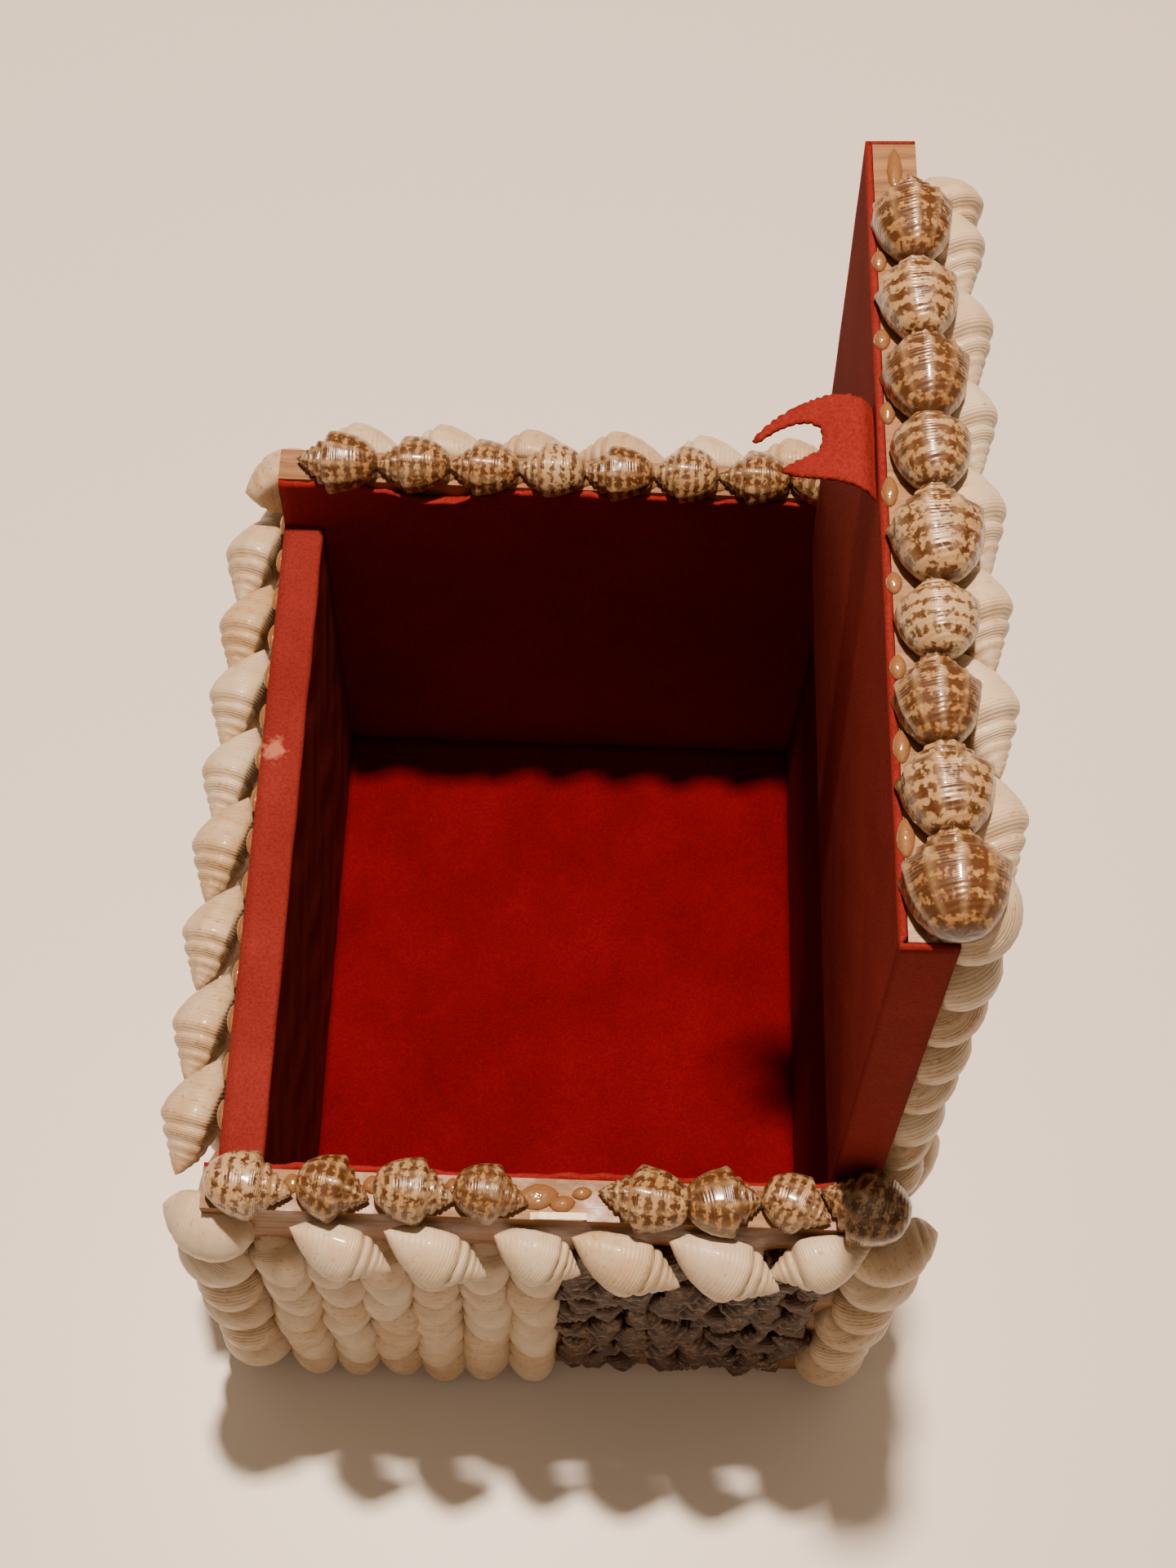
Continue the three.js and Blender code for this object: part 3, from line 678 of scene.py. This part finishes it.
shell_layer(
    "front_rim_shells", whelks, rim_rows(rim_front, -rim_y), whelk_finish, "box",
    [f"rim_shell_front_{i + 1}" for i in range(8)],
)
shell_layer(
    "back_rim_shells", whelks, rim_rows(rim_back, rim_y - back_step), whelk_finish, "box",
    [f"rim_shell_back_{i + 1}" for i in range(8)],
)


# Wall shells: white and cream shells bedded in glue. Each wall has a row of larger ones along its top,
# lying along it with their tips lifted, and upright columns of smaller ones lapped like tiles below.
chance = random.Random(8)
conches = bpy.data.collections.new("conches")
for number, (ribs, rib, swell) in enumerate([(0, 0, 0.26), (0, 0, 0.22), (11, 0.04, 0.26)]):
    conches.objects.link(
        spiral_shell(f"conch_{number}", 48, 32, conch_profile, 0.43, 1.48, swell, ribs, rib, 0.12)
    )
tiles = bpy.data.collections.new("tiles")
for number, swell in enumerate((0.20, 0.26)):
    tiles.objects.link(spiral_shell(f"tile_{number}", 22, 20, whelk_profile, 0.40, 1.5, swell, 0, 0, 0.1))
white_finish = shell_material(
    "white_shell",
    pale=(0.59, 0.485, 0.345),
    deep=(0.46, 0.32, 0.18),
    spot=(0.38, 0.22, 0.09),
    spot_range=(0.66, 0.95),
    roughness=0.40,
    coat=0.15,
    crease_shade=(0.33, 0.20, 0.11),
)
side_x = -board_low[0]
face_y = -front_low[1]


def wall_point(start, along, out, a, z, depth):
    """The place a mm along a wall and z mm up, standing depth mm off its face."""
    return Vector(start) + Vector(along) * (a * mm) + Vector(out) * (depth * mm) + Vector((0, 0, z * mm))


# Each wall: the corner it starts at, the way it runs and the way it faces.
walls = {
    "front": ((-side_x, -face_y, 0), (1, 0, 0), (0, -1, 0)),
    "back": ((side_x, face_y, 0), (-1, 0, 0), (0, 1, 0)),
    "left": ((-side_x, face_y, 0), (0, -1, 0), (-1, 0, 0)),
    "right": ((side_x, -face_y, 0), (0, 1, 0), (1, 0, 0)),
}
up = Vector((0, 0, 1))


def top_row(wall, shells, z, drop, swing):
    """Shells lying along the wall, each tip lifted clear over the butt of the next."""
    start, along, out = walls[wall]
    made = []
    for a, length, width in shells:
        size = (length * mm, width * mm, width * 0.9 * mm)
        tip = Vector(along) - up * (drop + chance.uniform(-0.05, 0.05)) + Vector(out) * swing
        place = wall_point(start, along, out, a, z, 0.30 * width + 0.16 * length * swing)
        made.append((place, tip, Vector(out), size, chance.randrange(3), chance.random()))
    return made


def tile_columns(wall, first, last, count, top_z, bottom_z=5, tiers=5, height=5.2):
    """Upright columns of shells between two places along the wall, each shell leaning over the one below."""
    start, along, out = walls[wall]
    overlap = 1.12
    pitch = (last - first) / count
    drop = (top_z - bottom_z) / tiers
    made = []
    for i in range(count):
        shift = chance.uniform(-0.25, 0.25) * drop
        for j in range(tiers):
            a = first + pitch * (i + 0.5) + chance.uniform(-0.05, 0.05) * pitch
            z = top_z - drop * (j + 0.5) + shift * (0 < j < tiers - 1)
            size = (drop * chance.uniform(1.4, 1.6) * mm, pitch * overlap * mm, height * 1.5 * mm)
            tip = up - Vector(out) * 0.46 + Vector(along) * chance.uniform(-0.22, 0.22)
            place = wall_point(start, along, out, a, z, height * chance.uniform(0.30, 0.46))
            made.append((place, tip, Vector(out), size, chance.randrange(2), chance.random()))
    return made


# The front's top row ends in one shell turned back towards the others.
front_shells = [(22, 18.5, 10.8), (37, 20, 11.4), (53, 16.5, 10.4), (67, 21.5, 11.8), (82.5, 21.5, 11.8)]
front_top = top_row("front", front_shells, z=97.0, drop=0.50, swing=0.30)
front_start, front_along, front_out = walls["front"]
turned = wall_point(front_start, front_along, front_out, 97.4, 97.6, 3.4)
turned_size = (18.5 * mm, 11.2 * mm, 10.2 * mm)
front_top.append((turned, (-1, -0.25, -0.45), Vector(front_out), turned_size, 1, 0.2))
shell_layer("front_top_row", conches, front_top, white_finish, "box", ["front_top_shells"])
front_tiles = tile_columns("front", 6.6, 57, 6, 88, bottom_z=8, tiers=7, height=3.6)
shell_layer("front_columns", tiles, front_tiles, white_finish, "box", ["front_white_shells"])

left_shells = [(a, 21.5, 13.8) for a in (10, 26, 41, 57, 72, 89, 106, 122)]
right_shells = [(20 + 16.2 * i, 20.5, 12.4) for i in range(7)]
back_shells = [(14 + 16.4 * i, 20.5, 12.4) for i in range(6)]
for wall, top_shells, z, drop, swing, columns in (
    ("left", left_shells, 80.2, 0.16, 0.33, (7.3, 136.7, 9, 72.6)),
    ("right", right_shells, 84.0, 0.10, 0.10, (7.3, 136.7, 9, 77.4)),
    ("back", back_shells, 96.0, 0.30, 0.26, (6.6, 103.4, 7, 88)),
):
    row = top_row(wall, top_shells, z, drop, swing)
    shell_layer(wall + "_top_row", conches, row, white_finish, "box", [wall + "_top_shells"])
    lapped = tile_columns(wall, *columns)
    shell_layer(wall + "_columns", tiles, lapped, white_finish, "box", [wall + "_shells"])


# Dark patch: on the right half of the front the small shells are rough, dark brown and knobbed,
# set close and a little untidily.
cerith_profile = [
    (0, 0), (0.1, 0.16), (0.3, 0.44), (0.5, 0.68), (0.65, 0.88), (0.78, 1.0), (0.88, 0.9), (0.96, 0.5), (1, 0),
]
ceriths = bpy.data.collections.new("ceriths")
for number, swell in enumerate((0.30, 0.36)):
    ceriths.objects.link(spiral_shell(f"cerith_{number}", 22, 20, cerith_profile, 0.70, 1.4, swell, 9, 0.2, 0.1))
dark_finish = shell_material(
    "dark_rough_shell",
    pale=(0.065, 0.024, 0.008),
    deep=(0.016, 0.006, 0.003),
    spot=(0.22, 0.12, 0.05),
    spot_range=(0.60, 0.80),
    roughness=0.42,
    coat=0.0,
    crease_shade=(0.012, 0.007, 0.005),
)
dark_rows = []
dark_bottom, dark_jog = 8.5, 1.2
for i in range(8):
    for j in range(9):
        a = 60 + 5.6 * i + chance.uniform(-dark_jog, dark_jog)
        z = 85.5 - 9.2 * j - 4.6 * (i % 2) + chance.uniform(-dark_jog, dark_jog)
        if z < dark_bottom:
            continue
        tip = up * chance.choice((1, -1)) + Vector(front_along) * chance.uniform(-0.6, 0.6) + Vector(front_out) * 0.25
        size = (12.5 * mm, 7.4 * mm, 6.0 * mm)
        place = wall_point(front_start, front_along, front_out, a, z, chance.uniform(0.8, 1.8))
        dark_rows.append((place, tip, Vector(front_out), size, chance.randrange(2), chance.random()))
shell_layer("front_dark_patch", ceriths, dark_rows, dark_finish, "box", ["front_dark_shells"])


# Corner columns: large smooth shells, nearly round, stacked up each corner to hide the boards' joint.
moon_profile = [
    (0, 0), (0.05, 0.24), (0.12, 0.46), (0.22, 0.72), (0.35, 0.92), (0.5, 1.0), (0.66, 0.96), (0.8, 0.8),
    (0.92, 0.48), (1, 0),
]
moons = bpy.data.collections.new("moons")
for number, swell in enumerate((0.12, 0.09)):
    moons.objects.link(spiral_shell(f"moon_{number}", 24, 26, moon_profile, 0.30, 1.9, swell, 0, 0, 0.06))
corner_foot, corner_tiers = 5, 6
for corner, dx, dy, top_z in (
    ("front_left", -1, -1, 98), ("front_right", 1, -1, 97), ("back_left", -1, 1, 98), ("back_right", 1, 1, 97),
):
    out = Vector((dx, dy, 0)).normalized()
    rows = []
    step_z = (top_z - corner_foot) / corner_tiers
    for tier in range(corner_tiers):
        z = corner_foot + step_z * (tier + 0.68)
        place = Vector((dx * (side_x - 0.2 * mm), dy * (face_y - 0.6 * mm), z * mm))
        across_corner = Vector((dx, -dy, 0)).normalized() * (1 if tier % 2 else -1)
        tip = across_corner * 0.5 - out * 0.45 + up if tier < corner_tiers - 1 else across_corner + out * 0.5
        size = (17.0 * mm, 14.2 * mm, 12.6 * mm)
        rows.append((place, tip, out, size, chance.randrange(2), chance.random()))
    shell_layer(f"corner_{corner}", moons, rows, white_finish, "box", [f"corner_shells_{corner}"])


# Lid: one board between the end boards, lined like the box, its free edge left raw under a row of whelks.
# It stands open a little short of upright, on the two nails.
hinge = next(joint for joint in frame["joints"] if joint["name"] == "lid_hinge")
pivot = Vector(hinge["pos_m"])
open_angle = math.radians(-hinge["range_deg"][0])
lid_up = Vector((-math.cos(open_angle), 0, math.sin(open_angle)))
lid_out = Vector((math.sin(open_angle), 0, math.cos(open_angle)))
lid_free, lid_half, lid_y, lid_board_y = 103.5 * mm, 3.6 * mm, 63.3 * mm, 62.7 * mm


def lid_point(u, y, n):
    return pivot + lid_up * u + lid_out * n + Vector((0, y, 0))


edge_thick = 0.6 * mm
lid_wave = 0.03 * mm
lid_depth = 2 * lid_y
side_run = 2 * lid_half


def lid_surface(u, s, h):
    """One sheet: up one end of the board, across its lined face and back over the other end."""
    lift = uneven(u, s, h, lid_wave)
    if s < side_run:
        return lid_point(u, -lid_board_y - lift * edge_thick / cloth_thick, lid_half - s)
    if s > side_run + lid_depth:
        return lid_point(u, lid_board_y + lift * edge_thick / cloth_thick, -lid_half + (s - side_run - lid_depth))
    y = max(-lid_board_y, min(lid_board_y, s - side_run - lid_y))
    return lid_point(u, y if h == 0 else s - side_run - lid_y, -lid_half + cloth_thick - lift)


lid_velvet = velvet_material("lid_red_velvet", (0.160, 0.013, 0.010), (0.20, 0.019, 0.014), None)
lid_cloth = cloth_panel(
    "lid_velvet",
    steps(-lid_half, lid_free, cloth_step),
    steps(0, 2 * side_run + lid_depth, cloth_step, side_run, side_run + lid_depth),
    lid_surface,
)
lay_cloth(
    lid_cloth, "lid", ["lid_lining"], lid_velvet, (lid_free + lid_half, 2 * side_run + lid_depth),
)

# Each row: place along the edge, length, width, how far towards the outer face, which shape, how dark.
edge_lean = 1.7
edge_whelks = [
    (47.4, 17.4, 10.4, 0.6, 1, 0.66), (33.6, 17.6, 10.6, 0.8, 3, 0.25), (20.4, 17.0, 10.8, 1.2, 1, 0.82),
    (8.2, 15.6, 10.4, 1.4, 2, 0.50), (-5.2, 17.6, 11.4, 1.6, 3, 0.28), (-18.2, 13.8, 10.6, 1.0, 2, 0.0),
    (-30.0, 15.8, 10.4, 0.4, 1, 0.80), (-42.3, 16.0, 11.0, 1.0, 3, 0.34), (-55.0, 17.0, 12.0, 1.4, 1, 0.85),
]
edge_rows = []
for y, length, width, n, kind, tint in edge_whelks:
    size = (length * mm, width * mm, width * 0.92 * mm)
    place = lid_point(lid_free + 0.2 * size[2], y * mm, (n + edge_lean) * mm)
    edge_rows.append((place, (0, 1, -0.08), lid_up, size, kind, tint))
shell_layer(
    "lid_edge_whelks", whelks, edge_rows, whelk_finish, "lid", [f"lid_edge_shell_{i + 1}" for i in range(9)],
)
lid_top = []
for y, length in ((48.6, 14), (39.4, 18.5), (24, 20), (9, 19.5), (-7, 20.5), (-22, 20), (-37, 20), (-53, 20)):
    place = lid_point(lid_free - 6.5 * mm, (y + 0.46 * length) * mm, lid_half + 4.3 * mm)
    tip = Vector((0, -1, 0)) + lid_out * 0.34 - lid_up * 0.12
    size = (length * mm, 12.4 * mm, 11.4 * mm)
    lid_top.append((place, tip, lid_out, size, chance.randrange(3), chance.random()))
shell_layer("lid_top_row", conches, lid_top, white_finish, "lid", ["lid_top_shells"])
lid_tiles = []
for i in range(8):
    for j in range(6):
        place = lid_point(lid_free - (25 + 13.4 * j) * mm, (54.8 - 13.7 * i) * mm, lid_half + 2.4 * mm)
        tip = lid_up - lid_out * 0.25 + Vector((0, chance.uniform(-0.15, 0.15), 0))
        size = (18.5 * mm, 13.8 * mm, 13.2 * mm)
        lid_tiles.append((place, tip, lid_out, size, chance.randrange(2), chance.random()))
lid_end = []
for j in range(8):
    place = lid_point(lid_free - (4 + 14.2 * j) * mm, -56.6 * mm, lid_half + 2.0 * mm)
    tip = lid_up + Vector((0, 0.5 if j % 2 else -0.3, 0)) - lid_out * 0.2
    lid_end.append((place, tip, lid_out, (17.5 * mm, 13.6 * mm, 12.6 * mm), j % 2, chance.random()))
shell_layer("lid_end_column", moons, lid_end, white_finish, "lid", [])
shell_layer("lid_columns", tiles, lid_tiles, white_finish, "lid", ["lid_shells"])


# Torn tab: a scrap of the lid's lining that came loose at the free edge and stands out in two ragged prongs.
tab_outline = np.array(
    [
        (-2.6, 19.2), (-7.5, 20.6), (-11, 20.2), (-14.5, 18.6), (-17.6, 16.4), (-20.3, 13.7), (-19.4, 13.4),
        (-16.8, 14.9), (-14.2, 15.7), (-12.2, 15.6), (-10.9, 14.6), (-10.7, 12.8), (-11.2, 11.2), (-13.6, 10.1),
        (-16.6, 8.7), (-14.4, 7.4), (-11, 6.6), (-8.2, 6.0), (-5.4, 4.4), (-2.6, 3.2),
    ]
) * mm


def inside_tab(n, y):
    inside = False
    for (n0, y0), (n1, y1) in zip(tab_outline, np.roll(tab_outline, 1, axis=0)):
        if (y0 > y) != (y1 > y) and n < (n1 - n0) * (y - y0) / (y1 - y0) + n0:
            inside = not inside
    return inside


tab_step, tab_catch, tab_fray = 0.36 * mm, 0.42 * mm, 0.1 * mm
tab_root = 2.4 * mm


def tab_surface(n, y, h):
    """The tab leaves the lid a little below its free edge, droops as it runs out, and frays at its outline."""
    start, end = tab_outline, np.roll(tab_outline, -1, axis=0)
    step = end - start
    here = np.array((n, y))
    share = np.clip(((here - start) * step).sum(1) / (step**2).sum(1), 0, 1)
    nearest = start + share[:, None] * step
    gaps = np.linalg.norm(nearest - here, axis=1)
    if gaps.min() < tab_catch:
        n, y = nearest[gaps.argmin()] + tab_fray * np.array((math.sin(y * 5200), math.sin(n * 6100)))
    out = -n - lid_half
    height = lid_free - 3.4 * mm - 0.0085 * (out / mm) ** 2 * mm + 0.35 * mm * math.sin(y * 520)
    if out < tab_root:
        height -= 2.2 * mm * (1 - max(out, 0) / tab_root) ** 2
    return lid_point(height + 0.7 * h, y, n)


tab_across = steps(-20.6 * mm, -2.4 * mm, tab_step)
tab_along = steps(3 * mm, 20.8 * mm, tab_step)
tab = cloth_panel("torn_velvet_tab", tab_across, tab_along, tab_surface, inside_tab, 0.5)
tab_flat, tab_area = (18.4 * mm, 17.8 * mm), 190 * mm**2
lay_cloth(tab, "lid", ["lid_torn_lining"], lid_velvet, tab_flat, tab_area)
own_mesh(tab)


# Glue and bare wood: where whelks were lost a shiny blob and a pale splinter are left on the front edge, and
# dried beads of the same glue show beside the shells.
glue, nodes, links, shader = new_material("dried_glue", 0.12)
shader.inputs["Base Color"].default_value = (0.42, 0.20, 0.07, 1)
shader.inputs["Transmission Weight"].default_value = 0.55
shader.inputs["Coat Weight"].default_value = 0.8
lumps = add_noise(nodes, links, object_place(nodes), 900.0, 2.0)
add_bump(nodes, links, lumps, shader, 0.5, 0.4 * mm)
bead_profile = [(0, 0), (0.1, 0.5), (0.3, 0.85), (0.5, 1), (0.7, 0.85), (0.9, 0.5), (1, 0)]
bead_store = bpy.data.collections.new("beads")
bead_store.objects.link(spiral_shell("bead", 10, 14, bead_profile, 0.3, 3, 0.0))
bead_sink = 0.1 * mm


def bead(place, along, out, length, width, height):
    return (place, along, out, (length * mm, width * mm, height * mm), 0, 0.5)


# The first three beads make the blob where the front edge has lost a whelk.
beads = []
for x, y, length, width in (
    (-2.4, -68.4, 7.0, 4.4), (1.6, -69.4, 4.4, 3.0), (4.6, -67.6, 3.4, 2.2), (-40.8, -67.6, 3.2, 3.4),
    (-28.2, -67.4, 3.4, 3.2), (-15.6, -67.4, 3.0, 3.4), (20.6, -67.8, 3.4, 3.0), (32.6, -67.6, 3.2, 3.2),
    (-37.4, 67.4, 6.0, 2.8), (-24, 67.2, 4.4, 2.6), (-11, 67.2, 3.6, 2.6), (1.4, 67.2, 4.0, 2.6),
    (13.6, 67.2, 3.8, 2.6), (26.2, 67.2, 4.2, 2.6), (39, 67.2, 4.0, 2.6),
):
    beads.append(bead((x * mm, y * mm, rim_z + bead_sink), (1, 0.2, 0), (0, 0, 1), length, width, 1.7))
for i in range(16):
    place = (-side_x - 0.2 * mm, (66 - 8.4 * i) * mm, 87.2 * mm)
    beads.append(bead(place, (0, 1, 0), (-1, 0, 0.3), 5.6, 2.8, 2.2))
shell_layer("glue_beads", bead_store, beads, glue, "box", ["glue_blob"])
lid_beads = []
for y, n, length in (
    (57.5, 0.4, 8), (40.8, -2.4, 4), (27, -2.5, 3.6), (14.6, -2.2, 4), (1.8, -2.4, 5), (-12.4, -2.4, 3.6),
    (-25, -2.4, 4), (-36.4, -2.4, 5), (-49, -2.4, 5.6), (-61, 0.5, 3.4),
):
    place = lid_point(lid_free + bead_sink, y * mm, n * mm)
    lid_beads.append(bead(place, (0, 1, 0.1), lid_up, length, 2.4, 1.6))
shell_layer("lid_glue_beads", bead_store, lid_beads, glue, "lid", [])
splinter, nodes, links, shader = new_material("fresh_splinter", 0.5)
grain = add_noise(nodes, links, object_place(nodes), 600.0, 3.0)
streak = add_ramp(nodes, links, grain, [(0.35, (0.72, 0.52, 0.30)), (0.65, (0.93, 0.80, 0.58))])
links.new(streak, shader.inputs["Base Color"])
paint_node("rim_splinter", splinter)


# Table and light: a pale painted table top, one small warm lamp high over the back of the box that throws
# the lid's shadow, and a broad soft ceiling and front light over the room's own faint warmth.
stage_data = bpy.data.meshes.new("table")
stage_data.from_pydata([(-2, -2, 0), (2, -2, 0), (2, 2, 0), (-2, 2, 0)], [], [(0, 1, 2, 3)])
table = bpy.data.objects.new("table", stage_data)
bpy.context.scene.collection.objects.link(table)
table_paint, nodes, links, shader = new_material("table_paint", 0.4)
shader.inputs["Base Color"].default_value = (0.75, 0.70, 0.63, 1)
table.data.materials.append(table_paint)
world = bpy.data.worlds.new("room")
world.use_nodes = True
world.node_tree.nodes["Background"].inputs["Color"].default_value = (0.62, 0.52, 0.43, 1)
world.node_tree.nodes["Background"].inputs["Strength"].default_value = 0.16
bpy.context.scene.world = world
# Each light: name, place, aim, width, power, colour.
lights = (
    ("key", (-0.035, 0.155, 1.22), (0.0, -0.02, 0.05), 0.05, 31.0, (1.0, 0.78, 0.62)),
    ("ceiling", (0.0, 0.1, 2.2), (0, 0, 0), 2.6, 17.0, (1.0, 0.70, 0.47)),
    ("front", (0.3, -1.9, 1.1), (0, 0, 0.05), 1.8, 4.6, (1.0, 0.70, 0.47)),
)
for name, place, aim, width, energy, colour in lights:
    light_data = bpy.data.lights.new(name, "AREA")
    light_data.energy, light_data.size, light_data.color = energy, width, colour
    light = bpy.data.objects.new(name, light_data)
    bpy.context.scene.collection.objects.link(light)
    light.location = place
    light.rotation_euler = (Vector(aim) - Vector(place)).to_track_quat("-Z", "Y").to_euler()
